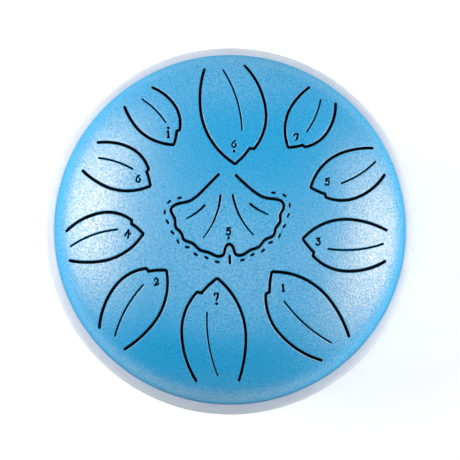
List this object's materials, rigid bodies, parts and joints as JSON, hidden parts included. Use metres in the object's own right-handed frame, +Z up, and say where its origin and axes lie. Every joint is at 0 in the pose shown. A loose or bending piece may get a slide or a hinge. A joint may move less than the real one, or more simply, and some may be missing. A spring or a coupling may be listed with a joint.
{
  "type": "steel tongue drum",
  "caption": "Domed steel tongue drum with numbered leaf-shaped tongues, a soft rim ring, a sound hole underneath and rubber feet.",
  "frame": {"origin": "on the ground, under the middle of the drum", "axes": "+Z up through the middle of the domes; +Y towards the longest leaf tongue, which is at the top when the numerals are read upright"},
  "size_m": [0.16, 0.16, 0.0807],
  "materials": {
    "shell_paint": "satin speckled metallic blue",
    "tongue_paint": "satin speckled metallic blue",
    "ring_silicone": "milky satin silicone",
    "foot_rubber": "matt black rubber",
    "magnet_nickel": "nickel plated"
  },
  "bodies": {
    "drum": {"top_shell": "shell_paint", "bottom_shell": "shell_paint", "rim_ring": "ring_silicone", "foot_1": "foot_rubber", "foot_2": "foot_rubber", "foot_3": "foot_rubber"},
    "low_5": {"tongue_low_5": "tongue_paint", "magnet_low_5": "magnet_nickel"},
    "low_6": {"tongue_low_6": "tongue_paint", "magnet_low_6": "magnet_nickel"},
    "low_7": {"tongue_low_7": "tongue_paint", "magnet_low_7": "magnet_nickel"},
    "note_1": {"tongue_note_1": "tongue_paint", "magnet_note_1": "magnet_nickel"},
    "note_2": {"tongue_note_2": "tongue_paint", "magnet_note_2": "magnet_nickel"},
    "note_3": {"tongue_note_3": "tongue_paint", "magnet_note_3": "magnet_nickel"},
    "note_4": {"tongue_note_4": "tongue_paint", "magnet_note_4": "magnet_nickel"},
    "note_5": {"tongue_note_5": "tongue_paint", "magnet_note_5": "magnet_nickel"},
    "note_6": {"tongue_note_6": "tongue_paint", "magnet_note_6": "magnet_nickel"},
    "note_7": {"tongue_note_7": "tongue_paint", "magnet_note_7": "magnet_nickel"},
    "high_1": {"tongue_high_1": "tongue_paint", "magnet_high_1": "magnet_nickel"}
  },
  "joints": [
    {"name": "low_5_flex", "type": "hinge", "parent": "drum", "child": "low_5", "pos_m": [-0.00115, 0.01935, 0.07881], "axis": [0.9992, -0.0411, 0], "range_deg": [-1, 1], "stiffness_Nm_per_rad": 0.6177, "springref_deg": -0.17},
    {"name": "low_6_flex", "type": "hinge", "parent": "drum", "child": "low_6", "pos_m": [-0.00233, 0.06787, 0.06213], "axis": [0.9945, 0.1045, 0], "range_deg": [-0.78, 0.78], "stiffness_Nm_per_rad": 1.0638, "springref_deg": -0.12},
    {"name": "low_7_flex", "type": "hinge", "parent": "drum", "child": "low_7", "pos_m": [-0.00525, -0.0661, 0.06328], "axis": [-1, -0.0087, 0], "range_deg": [-0.82, 0.82], "stiffness_Nm_per_rad": 0.8791, "springref_deg": -0.13},
    {"name": "note_1_flex", "type": "hinge", "parent": "drum", "child": "note_1", "pos_m": [0.04441, -0.05234, 0.06159], "axis": [-0.7547, -0.6561, 0], "range_deg": [-0.84, 0.84], "stiffness_Nm_per_rad": 0.8221, "springref_deg": -0.12},
    {"name": "note_2_flex", "type": "hinge", "parent": "drum", "child": "note_2", "pos_m": [-0.04988, -0.04814, 0.06101], "axis": [-0.766, 0.6428, 0], "range_deg": [-0.95, 0.95], "stiffness_Nm_per_rad": 0.5087, "springref_deg": -0.14},
    {"name": "note_3_flex", "type": "hinge", "parent": "drum", "child": "note_3", "pos_m": [0.06597, -0.00893, 0.06316], "axis": [-0.0436, -0.999, 0], "range_deg": [-0.97, 0.97], "stiffness_Nm_per_rad": 0.4535, "springref_deg": -0.15},
    {"name": "note_4_flex", "type": "hinge", "parent": "drum", "child": "note_4", "pos_m": [-0.0687, -0.00873, 0.06112], "axis": [-0.1132, 0.9936, 0], "range_deg": [-1.06, 1.06], "stiffness_Nm_per_rad": 0.3461, "springref_deg": -0.15},
    {"name": "note_5_flex", "type": "hinge", "parent": "drum", "child": "note_5", "pos_m": [0.06325, 0.02737, 0.0614], "axis": [0.4067, -0.9135, 0], "range_deg": [-1.07, 1.07], "stiffness_Nm_per_rad": 0.3262, "springref_deg": -0.15},
    {"name": "note_6_flex", "type": "hinge", "parent": "drum", "child": "note_6", "pos_m": [-0.05943, 0.02918, 0.06342], "axis": [0.4695, 0.8829, 0], "range_deg": [-1.17, 1.17], "stiffness_Nm_per_rad": 0.2296, "springref_deg": -0.18},
    {"name": "note_7_flex", "type": "hinge", "parent": "drum", "child": "note_7", "pos_m": [0.0395, 0.0558, 0.06184], "axis": [0.8572, -0.515, 0], "range_deg": [-1.21, 1.21], "stiffness_Nm_per_rad": 0.2113, "springref_deg": -0.18},
    {"name": "high_1_flex", "type": "hinge", "parent": "drum", "child": "high_1", "pos_m": [-0.03903, 0.05493, 0.06256], "axis": [0.8141, 0.5807, 0], "range_deg": [-1.27, 1.27], "stiffness_Nm_per_rad": 0.1711, "springref_deg": -0.19}
  ]
}
